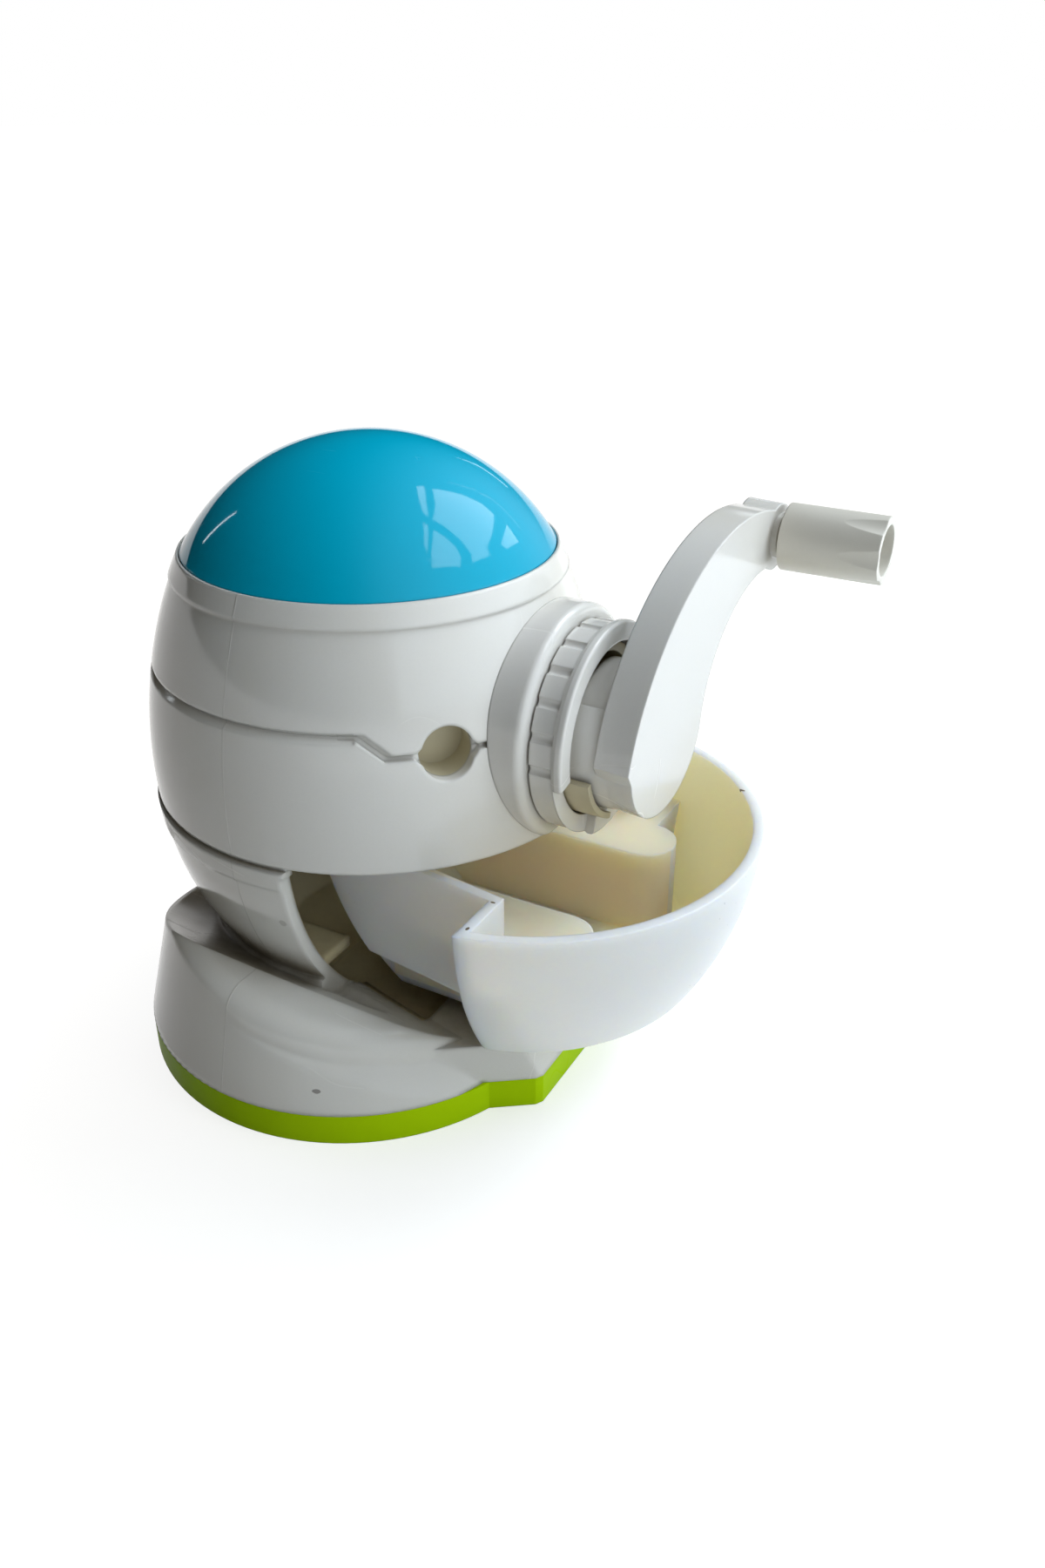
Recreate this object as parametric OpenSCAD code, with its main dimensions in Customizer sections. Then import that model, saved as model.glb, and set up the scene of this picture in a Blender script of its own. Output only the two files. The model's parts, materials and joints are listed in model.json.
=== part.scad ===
// Crank pencil sharpener: a round head on a two-lobed foot, with a pull-out
// shavings tray, a twist-lock collar and a helical cutter driven round the pencil.
// Millimetres, +Z up. The origin is the centre of the underside, below the head's axis.
// +X is the crank side and -X is the side where the pencil goes in.

/* [Foot] */
// Radius of each of the two lobes of the foot
lobe_r = 41.5; // [39:0.5:43]
// Distance of each lobe's centre from the middle of the foot
lobe_offset = 10.3; // [9:0.1:12]
// Reach of the flat tab under the tray, from the head's axis
tab_reach = 46; // [44:0.5:49]
// Thickness of the coloured sole
sole_h = 6.1; // [4:0.1:7]
// Height of the flat deck between the lobes
deck_z = 14.5; // [13.5:0.1:15.5]

/* [Head] */
// Largest radius of the head
head_r = 42; // [41.5:0.1:43]
// Height of the lower edge of the head
head_bottom_z = 50; // [49.5:0.1:51]
// Height of the seam between the two head shells
seam_z = 73.9; // [73:0.1:75]
// Height of the top rim of the head
rim_z = 93.4; // [92.5:0.1:95]
// Height of the dome above the rim
dome_h = 18.6; // [15:0.1:22]
// Thickness of the moulded walls
wall = 2.2; // [1.8:0.1:2.6]

/* [Crank] */
// Height of the crank's axis
axis_z = 67.5; // [66.5:0.1:68.5]
// Distance of the grip from the crank's axis
crank_r = 47.1; // [44:0.1:50]
// Angle of the crank arm above the +Y direction
crank_angle = 32.3; // [0:0.1:60]
// Diameter of the grip
grip_d = 12; // [11:0.1:14]

/* [Tray] */
// How far the tray is pulled out
tray_out = 32.3; // [0:0.1:40]
// Height of the tray's rim
tray_rim_z = 47.7; // [47:0.1:48.4]

/* [Cutter] */
// Radius of the hole for the pencil
pencil_r = 4.3; // [4:0.1:4.6]
// Slant of the cutter against the pencil's axis
cutter_slant = 9.5; // [8:0.5:11]
// Number of cutting edges
cutter_teeth = 14; // [10:1:18]

/* [Hidden] */
$fn = 96;

far = 200;

// Head profile: one arc whose widest point is at head_belly_z
head_belly_z = 56;
head_arc_r = 81.4;
// Egg profile of the neck and the tray: one arc below egg_belly_z
egg_belly_z = 52;
egg_arc_r = 55;
neck_r = 41.8;
neck_front_x = 8.1;
neck_top_z = 49;
neck_band_z = 45.2;
band_proud = 0.4;
fillet_r = 7;
lobe_draft = 0.25;
shoulder = 5;
crest_r = 33.1;
crest_shift = 1.15;
crest_z = 24.5;
crest_top_z = 28.5;
crest_tilt = 12.7;
valley_r = 67;
valley_z = 12.5;
valley_tilt = 5.7;
channel_z = 12;
channel_half = 29;
rail_top_z = 25.7;
bowl_path_y = 27.6;
bowl_path_z = 22.3;
bowl_path_r = 5.6;
bowl_path_length = 18;
rail_h = 2.2;
tab_half = 20;
nose_reach = 43;
tab_draft = 20;
screw_r = 1.5;
screw_places = [[-26, -18], [-26, 18], [26, -18], [26, 18]];
head_screw_places = [[-20, -27], [-20, 27], [14, -30], [14, 30]];

// Twist-lock end of the head
boss_r = 20.5;
boss_front_x = 41.3;
collar_r = 18.7;
collar_hole_r = 15.3;
collar_back_x = 41.7;
collar_front_x = 47.8;
lip_proud = 0.6;
flutes = 20;
flutes_shown = 5;
flute_turn = 3;
finger_turn = 132;
barrel_r = 14.9;
barrel_wall = 1.8;
hub_r = 13.4;
hub_low_r = 12.3;
hub_back_x = 46.2;
arm_end_r = 12.9;
arm_thickness = 6.4;
arm_lean = 3.5;
shaft_r = 4;
shaft_fit = 0.05;

// Grip
grip_back_x = 63;
grip_front_x = 80.8;
pin_r = 2;

// Cutter: its axis starts cutter_start_d above the pencil's axis at x = cutter_start_x
cutter_start_x = -18;
cutter_start_d = 9.1;
cutter_r = 5.4;
cutter_len = 22;
axle_r = 1.5;
gear_module = 0.9;
pinion_teeth = 10;
ring_teeth = 32;
pinion_mid = -4.9;
pinion_w = 3;
ring_back_x = -25.2;
ring_front_x = -21.4;
ring_outer_r = 17;
cup_outer_r = 18;
seat_back_x = 33;

white = [0.93, 0.92, 0.89];
cream = [0.86, 0.81, 0.68];
green = [0.60, 0.80, 0.05];
blue = [0.02, 0.62, 0.74];
steel = [0.62, 0.63, 0.65];
zinc = [0.50, 0.51, 0.53];

// ---- helpers -------------------------------------------------------------

// Turns local Z to the crank's axis (+X) and local X to straight up.
module on_axis(x = 0) {
    translate([x, 0, axis_z])
        rotate([0, 90, 0])
            rotate([0, 0, 180])
                children();
}

// A tube or disc round the crank's axis from x0 to x1.
module axis_ring(x0, x1, outer, inner = 0) {
    on_axis(x0)
        difference() {
            cylinder(h = x1 - x0, r = outer);
            if (inner > 0) translate([0, 0, -1]) cylinder(h = x1 - x0 + 2, r = inner);
        }
}

// A ring like axis_ring with its outer front edge rounded.
module rounded_ring(x0, x1, outer, inner, edge) {
    on_axis(x0) rotate_extrude() difference() {
        translate([inner, 0]) square([outer - inner, x1 - x0]);
        difference() {
            translate([outer - edge, x1 - x0 - edge]) square(edge + 1);
            translate([outer - edge, x1 - x0 - edge]) circle(r = edge, $fn = 48);
        }
    }
}

// The half plane x > 0 between two heights, for profiles that are revolved.
module slab2d(z0, z1, inner = 0) {
    translate([inner, z0]) square([60 - inner, z1 - z0]);
}

// Disc that gives the head's outline, drawn inward by inset.
module head_disc(inset = 0) {
    translate([head_r - head_arc_r, head_belly_z]) circle(r = head_arc_r - inset, $fn = 240);
}

// Disc that gives the egg's outline, widest at radius r.
module egg_disc(r, inset = 0) {
    translate([r - egg_arc_r, egg_belly_z]) circle(r = egg_arc_r - inset, $fn = 240);
}

module head_solid(z0, z1, inset = 0) {
    rotate_extrude() intersection() {
        head_disc(inset);
        slab2d(z0, z1);
    }
}

module egg_solid(r, z0, z1, inset = 0) {
    rotate_extrude() intersection() {
        egg_disc(r, inset);
        slab2d(z0, z1);
    }
}

// A wedge round local Z between two angles, less than half a turn apart.
module sector(from, to, r, h) {
    linear_extrude(h) polygon([[0, 0], r * [cos(from), sin(from)],
        1.3 * r * [cos((from + to) / 2), sin((from + to) / 2)], r * [cos(to), sin(to)]]);
}

// Everything in front of the plane x = x0.
module front_of(x0) {
    translate([x0, -far / 2, -far / 2]) cube([far, far, 2 * far]);
}

module behind(x0) {
    translate([x0 - far, -far / 2, -far / 2]) cube([far, far, 2 * far]);
}

// ---- foot ----------------------------------------------------------------

// Plan of the foot's middle: a nose towards the pencil side and a tab under the tray.
module middle_plan() {
    polygon([[-nose_reach, -tab_half], [-nose_reach, tab_half], [-30, 33], [20, 40],
        [34, 29.4], [tab_reach - 0.8, tab_half + 1.4], [tab_reach, tab_half],
        [tab_reach, -tab_half], [tab_reach - 0.8, -tab_half - 1.4], [34, -29.4],
        [20, -40], [-30, -33]]);
}

module screw_at(place, z, head_radius = 3, length = 9) {
    translate([place[0], place[1], z]) {
        cylinder(h = 1.6, r = head_radius, $fn = 32);
        cylinder(h = length, r = screw_r, $fn = 24);
    }
}

module base_sole() {
    color(green) difference() {
        union() {
            linear_extrude(sole_h) middle_plan();
            for (side = [-1, 1])
                translate([0, side * lobe_offset, 0]) cylinder(h = sole_h, r = lobe_r, $fn = 160);
        }
        for (place = screw_places) translate([place[0], place[1], -1]) {
            cylinder(h = 3.6, r = 3.3, $fn = 32);
            cylinder(h = sole_h + 2, r = screw_r + 0.2, $fn = 24);
        }
    }
}

// Profile of the tool that shapes the top of a lobe: a flat disc with a rounded rim,
// flaring below so that it leaves the lobe's wall alone.
module crest_profile() {
    polygon([[0, 0], [crest_r, 0], [crest_r, -shoulder], [0, -far]]);
    translate([crest_r, -shoulder]) circle(r = shoulder, $fn = 128);
    polygon([[0, -shoulder], [crest_r + shoulder, -shoulder], [crest_r + far, -far], [0, -far]]);
}

// One lobe: a drafted drum whose top slopes down towards the crank side, with a round shoulder.
module lobe(side) {
    translate([0, side * lobe_offset, 0]) intersection() {
        translate([0, 0, sole_h])
            cylinder(h = crest_top_z - sole_h, r1 = lobe_r,
                r2 = lobe_r - lobe_draft * (crest_top_z - sole_h), $fn = 160);
        translate([0, 0, crest_z]) rotate([0, crest_tilt, 0]) translate([crest_shift, 0, 0])
            rotate_extrude($fn = 160) crest_profile();
    }
}

// Trough that hollows the foot along its middle, falling towards the crank side.
module valley() {
    translate([0, 0, valley_z + valley_r]) rotate([0, 90 + valley_tilt, 0])
        translate([0, 0, -far]) cylinder(h = 2 * far, r = valley_r, $fn = 160);
}

// Flat middle of the foot: the nose and the tab, with draft on their end faces.
module deck() {
    difference() {
        translate([0, 0, sole_h]) linear_extrude(deck_z - sole_h) middle_plan();
        translate([tab_reach, -far / 2, sole_h]) rotate([0, -tab_draft, 0]) cube(far);
        mirror([1, 0, 0]) translate([nose_reach, -far / 2, sole_h]) rotate([0, -tab_draft, 0])
            cube(far);
    }
}

// Revolved blend between the neck and the deck.
module neck_blend() {
    egg_x = neck_r - egg_arc_r;
    blend_x = egg_x + sqrt(pow(egg_arc_r + fillet_r, 2)
        - pow(egg_belly_z - deck_z - fillet_r, 2));
    rotate_extrude() difference() {
        translate([0, sole_h + 1]) square([blend_x, 20]);
        translate([blend_x, deck_z + fillet_r]) circle(r = fillet_r, $fn = 96);
        translate([blend_x - fillet_r - 1, deck_z + fillet_r]) square([fillet_r + 2, 20]);
        difference() {
            translate([20, 22]) square([30, 30]);
            egg_disc(neck_r);
        }
    }
}

module neck_outside() {
    egg_solid(neck_r, deck_z, neck_top_z);
    egg_solid(neck_r + band_proud, neck_band_z, neck_top_z);
    neck_blend();
}

// Rails that carry the tray, one on each side inside the neck.
module tray_rails() {
    intersection() {
        egg_solid(neck_r, 18, 30, 1);
        for (side = [-1, 1])
            translate([-22, side * 27.5 - 4, rail_top_z - rail_h])
                cube([neck_front_x + 21, 8, rail_h]);
    }
}

// Widest outline of the bowl with 0.5 of clearance, seen along its slide.
module bowl_path() {
    for (side = [-1, 1]) translate([side * bowl_path_y, bowl_path_z]) circle(r = bowl_path_r, $fn = 64);
    translate([-bowl_path_y, bowl_path_z - bowl_path_r]) square([2 * bowl_path_y, 2 * bowl_path_r]);
    translate([-bowl_path_y - bowl_path_r, bowl_path_z])
        square([2 * (bowl_path_y + bowl_path_r), bowl_path_r]);
}

module base_shell() {
    color(white) {
        difference() {
            union() {
                deck();
                difference() {
                    for (side = [-1, 1]) lobe(side);
                    valley();
                }
                intersection() {
                    neck_outside();
                    behind(neck_front_x);
                }
            }
            // hollow of the neck
            intersection() {
                egg_solid(neck_r, channel_z, neck_top_z + 1, wall);
                behind(neck_front_x + 1);
            }
            // room for the bowl of the shut tray, and on its way in
            intersection() {
                rotate_extrude() bowl_profile(-0.4);
                front_of(neck_front_x - 0.6);
            }
            translate([neck_front_x, 0, 0]) rotate([90, 0, 90])
                linear_extrude(bowl_path_length) bowl_path();
            // channel below the tray
            translate([-20, -channel_half, channel_z])
                cube([45, 2 * channel_half, 3]);
            // hollow below the deck
            translate([0, 0, sole_h - 1]) linear_extrude(channel_z - sole_h - 1) difference() {
                intersection() {
                    circle(r = 36);
                    square([80, 66], center = true);
                }
                for (place = screw_places) translate(place) circle(r = 4, $fn = 32);
            }
            for (place = screw_places)
                translate([place[0], place[1], sole_h - 1]) cylinder(h = 5, r = screw_r, $fn = 24);
        }
        tray_rails();
    }
}

module base_screws() {
    color(steel) for (place = screw_places) screw_at(place, 0.9, 3, sole_h + 2.8);
}

// ---- head ----------------------------------------------------------------

socket_turn = -39.3;
socket_z = 70.2;
socket_r = 4.5;
mouth_half = 5.6;
mouth_rise = 3;
jog_z = 70.4;

// Dip of the seam at the side socket: the seam slants down from its left end and then
// runs level at jog_z through the middle of the round hole and on behind the boss.
jog_left = -13.5;
jog_foot = -9.5;
jog_right = 26;
groove_w = 1.1;
groove_depth = 1;

// Prism that runs outward through the wall beside the socket, drawn in the plane across it.
module jog_prism(outline) {
    rotate([0, 0, socket_turn]) translate([20, 0, 0]) rotate([90, 0, 90])
        linear_extrude(40) polygon(outline);
}

// The part of space that belongs to the upper shell.
module upper_space() {
    translate([-far / 2, -far / 2, seam_z]) cube(far);
    jog_prism([[jog_left - 1, seam_z + 1], [jog_left, seam_z - 0.05], [jog_foot, jog_z],
        [jog_right, jog_z], [jog_right, seam_z + 1]]);
}

// The part of space that belongs to the lower shell.
module lower_space() {
    difference() {
        translate([-far / 2, -far / 2, 0]) cube([far, far, seam_z + 0.5]);
        upper_space();
    }
}

// Groove along the seam: a V all round, and a fine slot along the dip.
module seam_groove() {
    slot = groove_w / 2;
    rotate([0, 0, socket_turn + 31]) rotate_extrude(angle = 308)
        polygon([[head_r + 2, seam_z - 3.4], [head_r - 2.9, seam_z - 0.3],
            [head_r - 2.9, seam_z + 0.3], [head_r + 2, seam_z + 3.4]]);
    difference() {
        jog_prism([[jog_left - 3, seam_z + slot], [jog_left - 3, seam_z - slot],
            [jog_left - slot, seam_z - slot], [jog_foot - slot, jog_z - slot],
            [jog_right, jog_z - slot], [jog_right, jog_z + slot],
            [jog_foot + slot, jog_z + slot], [jog_left + slot, seam_z + slot]]);
        head_solid(60, 85, groove_depth);
    }
}

module socket_hole(from = 34.2, r = socket_r) {
    rotate([0, 0, socket_turn]) translate([from, 0, socket_z]) rotate([0, 90, 0])
        cylinder(h = 20, r = r, $fn = 64);
}

// Blind cup behind the round hole in the side of the head.
module socket_cup() {
    color(cream) difference() {
        intersection() {
            socket_hole(33, socket_r + 1.1);
            head_solid(head_bottom_z, seam_z + 10, wall);
        }
        socket_hole();
    }
}

// Almond-shaped mouth round the hole, where the two shells' edges draw back to a point.
module socket_mouth() {
    bow = (pow(mouth_half, 2) + pow(mouth_rise, 2)) / (2 * mouth_rise);
    rotate([0, 0, socket_turn]) translate([39, 0, socket_z]) rotate([0, 90, 0]) intersection() {
        translate([bow - mouth_rise, 0, 0]) cylinder(h = 20, r = bow);
        translate([mouth_rise - bow, 0, 0]) cylinder(h = 20, r = bow);
    }
}

module head_hollows() {
    socket_hole();
    socket_mouth();
    axis_ring(20, 60, boss_r - 1.2);
    axis_ring(-60, -30, 7.1);
}

module head_lower_shell() {
    color(white) {
        difference() {
            union() {
                difference() {
                    head_solid(head_bottom_z, seam_z);
                    head_solid(head_bottom_z + wall, seam_z + 1, wall);
                }
                for (place = head_screw_places)
                    translate([place[0], place[1], head_bottom_z + 1])
                        cylinder(h = seam_z - head_bottom_z - 1, r = 3.6, $fn = 32);
            }
            upper_space();
            seam_groove();
            head_hollows();
            // chute for the shavings
            translate([-29.5, -16, head_bottom_z - 1]) cube([47.5, 32, wall + 3]);
            for (place = head_screw_places)
                translate([place[0], place[1], head_bottom_z - 1]) {
                    cylinder(h = far, r = screw_r + 0.2, $fn = 24);
                    cylinder(h = 4, r = 2.6, $fn = 24);
                }
        }
        // locating ring that stands on the neck
        intersection() {
            rotate_extrude() translate([neck_r - 2.4, neck_top_z]) square([1.6, 1.2]);
            behind(neck_front_x);
        }
    }
}

module head_upper_shell() {
    band_z = rim_z - 3.7;
    color(white) {
        difference() {
            union() {
                difference() {
                    head_solid(jog_z, rim_z - 1);
                    head_solid(jog_z - 1, rim_z - 4.2, wall);
                }
                rotate_extrude() intersection() {
                    head_disc(-band_proud);
                    slab2d(band_z, rim_z, 30);
                }
                for (place = head_screw_places)
                    translate([place[0], place[1], seam_z]) cylinder(h = 5.5, r = 3.4, $fn = 32);
            }
            lower_space();
            seam_groove();
            head_hollows();
            // seat of the dome
            translate([0, 0, rim_z - 2.6]) cylinder(h = 10, r = 33.0);
            translate([0, 0, rim_z - 10]) cylinder(h = 20, r = 30.4);
            for (place = head_screw_places)
                translate([place[0], place[1], seam_z - 1]) cylinder(h = 5, r = screw_r, $fn = 24);
        }
    }
}

module dome_cap() {
    rim_r = 32.8;
    ball_r = (rim_r * rim_r + dome_h * dome_h) / (2 * dome_h);
    ball_z = rim_z + dome_h - ball_r;
    color(blue) rotate_extrude($fn = 160) {
        intersection() {
            difference() {
                translate([0, ball_z]) circle(r = ball_r, $fn = 240);
                translate([0, ball_z]) circle(r = ball_r - wall, $fn = 240);
            }
            slab2d(rim_z, rim_z + dome_h + 1);
        }
        translate([rim_r - wall, rim_z - 2.6]) square([wall, 2.7]);
    }
}

module head_screws() {
    color(steel) for (place = head_screw_places)
        translate([place[0], place[1], head_bottom_z + 1.4]) {
            cylinder(h = 1.6, r = 2.5, $fn = 32);
            cylinder(h = seam_z - head_bottom_z + 2, r = screw_r, $fn = 24);
        }
}

// ---- twist-lock end ------------------------------------------------------

module collar_seat() {
    color(white) difference() {
        intersection() {
            union() {
                axis_ring(seat_back_x, boss_front_x, boss_r - 1.3);
                difference() {
                    rounded_ring(seat_back_x, boss_front_x, boss_r, barrel_r, 1.4);
                    head_solid(40, 100);
                }
            }
            translate([0, -far / 2, head_bottom_z]) cube(far);
        }
        axis_ring(20, 60, barrel_r);
    }
}

// Sleeve that carries the drive: it shows inside the collar and its lip sticks out below.
module cartridge_barrel() {
    color(cream) difference() {
        union() {
            axis_ring(22, 45.6, barrel_r);
            intersection() {
                axis_ring(45, 50.6, barrel_r, hub_r + 0.4);
                on_axis(45) sector(finger_turn - 27, finger_turn + 27, 30, 8);
            }
        }
        axis_ring(20, 30, barrel_r - barrel_wall);
        axis_ring(33.5, 60, barrel_r - barrel_wall);
        axis_ring(20, 60, 6);
    }
}

module shaft_bush() {
    color(steel) axis_ring(28.6, 34.6, 6, shaft_r + shaft_fit);
}

// Knurled ring: a raised lip in front, and grooves that run out at its back. The part that
// faces down is plain.
module lock_collar() {
    color(white) difference() {
        union() {
            axis_ring(collar_back_x, collar_front_x - 1.2, collar_r - lip_proud);
            on_axis(collar_front_x - 2.2) cylinder(h = 1, r1 = collar_r - lip_proud, r2 = collar_r);
            rounded_ring(collar_front_x - 1.25, collar_front_x, collar_r, collar_hole_r, 0.5);
        }
        axis_ring(collar_back_x - 1, collar_front_x + 1, collar_hole_r);
        on_axis(collar_back_x - 1) for (i = [-flutes_shown : flutes_shown])
            rotate([0, 0, flute_turn + i * 360 / flutes])
                translate([collar_r - lip_proud + 0.45, 0, 0])
                    cylinder(h = collar_front_x - collar_back_x - 1, r = 0.98, $fn = 32);
        // notch in the lip, over the sleeve's finger
        on_axis(collar_front_x - 1.7) sector(finger_turn - 30, finger_turn + 30, 30, 5);
    }
}

// ---- crank ---------------------------------------------------------------

// Arm outline in the plane across the axis: x runs to the grip, y to the outer bend.
module arm_outline() {
    circle(r = arm_end_r);
    intersection() {
        difference() {
            translate([17.2, -20.8]) circle(r = 40.7, $fn = 200);
            translate([28.6, -20]) circle(r = 22, $fn = 200);
        }
        polygon([[-12, 2], [-12, 40], [60, 40], [60, 2], [crank_r, -6], [10, -9]]);
    }
    translate([crank_r, 0]) circle(r = 6);
}

module crank_frame() {
    on_axis() rotate([0, 0, crank_angle - 90]) children();
}

module crank_arm() {
    color(white) difference() {
        union() {
            crank_frame() {
                translate([0, 0, hub_back_x]) cylinder(h = 8, r = hub_low_r);
                translate([0, 0, 52]) rotate([0, -arm_lean, 0])
                    linear_extrude(arm_thickness) arm_outline();
                translate([crank_r, 0, 58]) cylinder(h = 4.2, r = 4);
            }
            intersection() {
                on_axis(hub_back_x) cylinder(h = 8, r1 = hub_r, r2 = arm_end_r);
                crank_frame() translate([-far - 4, -far / 2, 0]) cube(far);
            }
        }
        axis_ring(40, 56, shaft_r);
        crank_frame() translate([crank_r, 0, 50]) cylinder(h = 20, r = pin_r);
    }
}

module crank_shaft() {
    color(steel) axis_ring(11, 56, shaft_r);
}

module thrust_washer() {
    color(steel) axis_ring(34.9, 36.1, 6.4, shaft_r);
}

module at_grip(x) {
    crank_frame() translate([crank_r, 0, x]) children();
}

module grip_pin() {
    color(steel) {
        at_grip(55.5) cylinder(h = 19.5, r = pin_r);
        at_grip(73.3) cylinder(h = 1.7, r = 3.2, $fn = 48);
    }
}

module grip() {
    length = grip_front_x - grip_back_x;
    color(white) at_grip(grip_back_x) difference() {
        cylinder(h = length, r = grip_d / 2);
        translate([0, 0, -1]) cylinder(h = length, r = pin_r + 0.06);
        translate([0, 0, 10]) cylinder(h = length, r = grip_d / 2 - 1.5);
        for (i = [0 : 5]) rotate([0, 0, i * 60 + 30])
            translate([grip_d / 2 + 4.6, 0, length * 0.42]) rotate([0, -5, 0])
                cylinder(h = length, r = 4.3);
    }
}

// ---- cutter --------------------------------------------------------------

module at_cutter(along = 0) {
    on_axis() translate([cutter_start_d, 0, cutter_start_x]) rotate([0, -cutter_slant, 0])
        translate([0, 0, along]) children();
}

// Cradle that goes round the pencil: two end plates joined by a half shell.
module cutter_carrier() {
    color(zinc) difference() {
        union() {
            axis_ring(-20.2, -18.2, 13);
            axis_ring(7.2, 10, 13);
            axis_ring(10, 28.3, 6.4);
            difference() {
                axis_ring(-18.3, 7.3, 12.6, 10.2);
                translate([-30, -far / 2, axis_z - 2]) cube(far);
                translate([-12, -far / 2, axis_z - 9]) cube([12, far, 5]);
            }
        }
        axis_ring(-30, -10, pencil_r + 0.3);
        axis_ring(11, 30, shaft_r);
        at_cutter(-10) cylinder(h = 50, r = axle_r + shaft_fit, $fn = 48);
    }
}

// Straight-sided gear teeth, thinner towards the tip.
module tooth(root, pitch, tip, thick) {
    polygon([[root, -thick * 0.7], [pitch, -thick / 2], [tip, -thick * 0.28],
        [tip, thick * 0.28], [pitch, thick / 2], [root, thick * 0.7]]);
}

module cutter_pinion() {
    pitch = gear_module * pinion_teeth / 2;
    color(steel) at_cutter(pinion_mid - pinion_w / 2) difference() {
        linear_extrude(pinion_w) {
            circle(r = pitch - 1.2);
            for (i = [0 : pinion_teeth - 1]) rotate(i * 360 / pinion_teeth)
                tooth(pitch - 1.4, pitch, pitch + 0.7, 1.15);
        }
        translate([0, 0, -1]) cylinder(h = pinion_w + 2, r = axle_r, $fn = 48);
    }
}

module ring_gear() {
    pitch = gear_module * ring_teeth / 2;
    color(cream) union() {
        axis_ring(ring_back_x, ring_front_x, ring_outer_r, pitch + 1.1);
        on_axis(ring_back_x) for (i = [0 : ring_teeth - 1])
            rotate([0, 0, (i + 0.5) * 360 / ring_teeth])
                linear_extrude(ring_front_x - ring_back_x)
                    tooth(pitch + 1.5, pitch, pitch - 0.7, 1.15);
    }
}

module cutter_axle() {
    color(steel) at_cutter(-6.8) cylinder(h = 34.8, r = axle_r, $fn = 48);
}

// Milled cutter: sharp-backed teeth wound round a core.
module helical_cutter() {
    step = 360 / cutter_teeth;
    color(steel) at_cutter(1.4) difference() {
        linear_extrude(cutter_len, twist = -70, slices = 18)
            polygon([for (i = [0 : cutter_teeth - 1], k = [0, 1])
                (cutter_r - k) * [cos((i + k * 0.62) * step), sin((i + k * 0.62) * step)]]);
        translate([0, 0, -1]) cylinder(h = cutter_len + 2, r = axle_r, $fn = 48);
    }
}

// ---- pencil side ---------------------------------------------------------

module guide_tube() {
    color(cream) difference() {
        union() {
            axis_ring(-43.6, -25.2, 6.9);
            axis_ring(-28, ring_back_x, cup_outer_r);
            axis_ring(-28, ring_front_x - 1, cup_outer_r, ring_outer_r);
        }
        axis_ring(-60, -20, pencil_r);
    }
}

module port_bezel() {
    color(white) difference() {
        axis_ring(-43.6, -38, 10.5, 6.9);
        head_solid(40, 100);
    }
}

// ---- tray ----------------------------------------------------------------

tray_bottom_z = 17.2;
tray_bottom_bend = 5.1;
tray_wall = 1.9;
tray_back_r = 38.6;
step_z = 26;
step_half = 21;
tray_shoulder_x = 8.5;
bowl_r = 42.07;
bowl_arc_r = 60;
bowl_belly_z = 50.6;
ledge_half = 12;
ledge_z = 36.5;
ledge_end = 15.3;

module tray_back_plan(inset = 0) {
    polygon([[-50, -22 + inset], [-5.6, -27.6 + inset], [tray_shoulder_x + 4, -30.2 + inset],
        [tray_shoulder_x + 4, 30.2 - inset], [-5.6, 27.6 - inset], [-50, 22 - inset]]);
}

// Bowl profile: the egg's arc, bent round into the flat bottom.
module bowl_profile(inset = 0) {
    bend = max(tray_bottom_bend - inset, 1);
    bottom = tray_bottom_z + inset;
    centre = bowl_r - bowl_arc_r;
    bend_r = centre + sqrt(pow(bowl_arc_r - inset - bend, 2) - pow(bowl_belly_z - bottom - bend, 2));
    reach = 3 * bend;
    way = [bend_r - centre, bottom + bend - bowl_belly_z] / (bowl_arc_r - inset - bend);
    difference() {
        intersection() {
            translate([centre, bowl_belly_z]) circle(r = bowl_arc_r - inset, $fn = 240);
            slab2d(bottom, tray_rim_z + (inset > 0 ? 1 : 0));
        }
        difference() {
            polygon([[bend_r, bottom + bend], [bend_r, bottom - 1],
                [bend_r + reach, bottom - 1], [bend_r + reach * way[0], bottom + bend + reach * way[1]]]);
            // set a hair outwards, so that the arcs cross instead of only touching
            translate([bend_r, bottom + bend] + 0.04 * way) circle(r = bend, $fn = 64);
        }
    }
}

module tray_bowl(inset = 0) {
    intersection() {
        rotate_extrude() bowl_profile(inset);
        front_of(tray_shoulder_x + inset);
    }
}

module tray_back(inset = 0) {
    top = tray_rim_z + (inset > 0 ? 1 : 0);
    intersection() {
        egg_solid(tray_back_r, tray_bottom_z + inset, top, inset);
        union() {
            translate([0, 0, step_z + inset]) linear_extrude(top - step_z - inset)
                tray_back_plan(inset);
            translate([-60, -step_half + inset, tray_bottom_z + inset])
                cube([60 + tray_shoulder_x + 4, 2 * (step_half - inset), 20]);
        }
    }
}

// Raised ledge along each side of the deep middle, with a round front end.
module tray_ledge(side) {
    mirror([0, side > 0 ? 0 : 1, 0]) translate([0, ledge_half, 0]) {
        translate([-50, 0, tray_bottom_z]) cube([50 + ledge_end, 30, ledge_z - tray_bottom_z]);
        translate([ledge_end, 6, tray_bottom_z]) cylinder(h = ledge_z - tray_bottom_z, r = 6);
    }
}

module shavings_tray() {
    color(white) translate([tray_out, 0, 0]) difference() {
        union() {
            tray_bowl();
            tray_back();
        }
        difference() {
            union() {
                tray_bowl(tray_wall);
                tray_back(tray_wall);
            }
            for (side = [-1, 1]) tray_ledge(side);
        }
    }
}

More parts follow.
